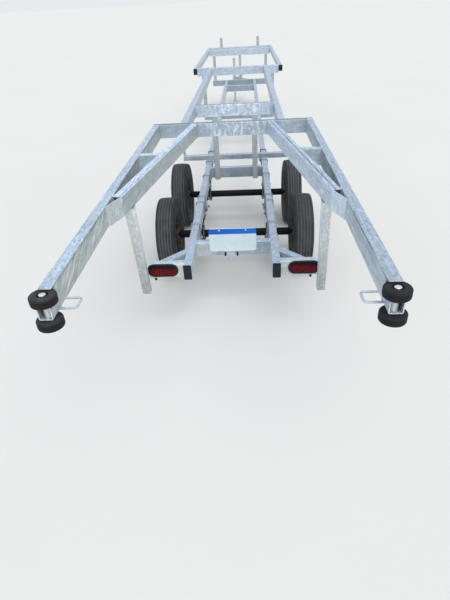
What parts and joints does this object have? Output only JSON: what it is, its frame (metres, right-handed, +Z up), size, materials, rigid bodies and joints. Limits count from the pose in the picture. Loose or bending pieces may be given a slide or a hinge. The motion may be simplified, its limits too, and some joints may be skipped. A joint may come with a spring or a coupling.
{
  "type": "boat trailer",
  "caption": "Galvanised tandem boat trailer: narrow lower frame, raised upper frame with splayed rear arms ending in guide rollers, jack and ball coupler.",
  "frame": {"origin": "on the ground under the middle of the bounding box", "axes": "+X to the right-hand side, +Y forward to the coupler, +Z up"},
  "size_m": [1.2784, 9.966, 1.235],
  "materials": {
    "galvanised": "hot-dip galvanised, mottled, satin",
    "black_steel": "black paint, satin",
    "zinc_steel": "zinc plated, satin",
    "tyre": "matt rubber",
    "rim_paint": "silver paint, satin",
    "roller_rubber": "matt rubber",
    "black_plastic": "matt moulded plastic",
    "red_lens": "clear red plastic, gloss",
    "white_plate": "white reflective sheet with a blue band"
  },
  "bodies": {
    "chassis": {"rails_lower": "galvanised", "cross_members_lower": "galvanised", "lamp_wings": "galvanised", "wing_braces": "galvanised", "arms_outer": "galvanised", "arms_inner": "galvanised", "arm_gussets": "galvanised", "arm_ties": "galvanised", "rear_legs": "galvanised", "cross_bars_upper": "galvanised", "rails_upper": "galvanised", "platform_sides": "galvanised", "platform_bars": "galvanised", "posts": "galvanised", "stop_posts": "galvanised", "outrigger": "galvanised", "tongue": "galvanised", "tongue_braces": "galvanised", "tie_loops": "galvanised", "rail_straps": "galvanised", "spring_hangers": "galvanised", "roller_pins": "galvanised", "axles": "black_steel", "leaf_springs": "black_steel", "equalisers": "black_steel", "axle_clamps": "black_steel", "coupler": "zinc_steel", "jack_tube": "zinc_steel", "plate_bracket": "zinc_steel", "end_caps": "black_plastic", "lamp_surrounds": "black_plastic", "lamp_lenses": "red_lens", "number_plate": "white_plate"},
    "wheel_rear_left": {"tyre_rear_left": "tyre", "rim_rear_left": "rim_paint"},
    "wheel_rear_right": {"tyre_rear_right": "tyre", "rim_rear_right": "rim_paint"},
    "wheel_front_left": {"tyre_front_left": "tyre", "rim_front_left": "rim_paint"},
    "wheel_front_right": {"tyre_front_right": "tyre", "rim_front_right": "rim_paint"},
    "guide_roller_upper_left": {"roller_upper_left": "roller_rubber"},
    "guide_roller_upper_right": {"roller_upper_right": "roller_rubber"},
    "guide_roller_lower_left": {"roller_lower_left": "roller_rubber"},
    "guide_roller_lower_right": {"roller_lower_right": "roller_rubber"},
    "jack_slide": {"jack_leg": "zinc_steel"}
  },
  "joints": [
    {"name": "spin_rear_left", "type": "hinge", "parent": "chassis", "child": "wheel_rear_left", "pos_m": [-0.522, -2.849, 0.293], "axis": [-1, 0, 0], "continuous": true},
    {"name": "spin_rear_right", "type": "hinge", "parent": "chassis", "child": "wheel_rear_right", "pos_m": [0.522, -2.849, 0.293], "axis": [-1, 0, 0], "continuous": true},
    {"name": "spin_front_left", "type": "hinge", "parent": "chassis", "child": "wheel_front_left", "pos_m": [-0.522, -1.961, 0.293], "axis": [-1, 0, 0], "continuous": true},
    {"name": "spin_front_right", "type": "hinge", "parent": "chassis", "child": "wheel_front_right", "pos_m": [0.522, -1.961, 0.293], "axis": [-1, 0, 0], "continuous": true},
    {"name": "turn_upper_left", "type": "hinge", "parent": "chassis", "child": "guide_roller_upper_left", "pos_m": [-0.5912, -4.935, 1.0478], "axis": [0, 0, 1], "continuous": true},
    {"name": "turn_upper_right", "type": "hinge", "parent": "chassis", "child": "guide_roller_upper_right", "pos_m": [0.5912, -4.935, 1.0478], "axis": [0, 0, 1], "continuous": true},
    {"name": "turn_lower_left", "type": "hinge", "parent": "chassis", "child": "guide_roller_lower_left", "pos_m": [-0.5912, -4.935, 0.951], "axis": [0, 0, 1], "continuous": true},
    {"name": "turn_lower_right", "type": "hinge", "parent": "chassis", "child": "guide_roller_lower_right", "pos_m": [0.5912, -4.935, 0.951], "axis": [0, 0, 1], "continuous": true},
    {"name": "jack_lift", "type": "slide", "parent": "chassis", "child": "jack_slide", "axis": [0, 0, 1], "range_m": [0, 0.25]}
  ]
}
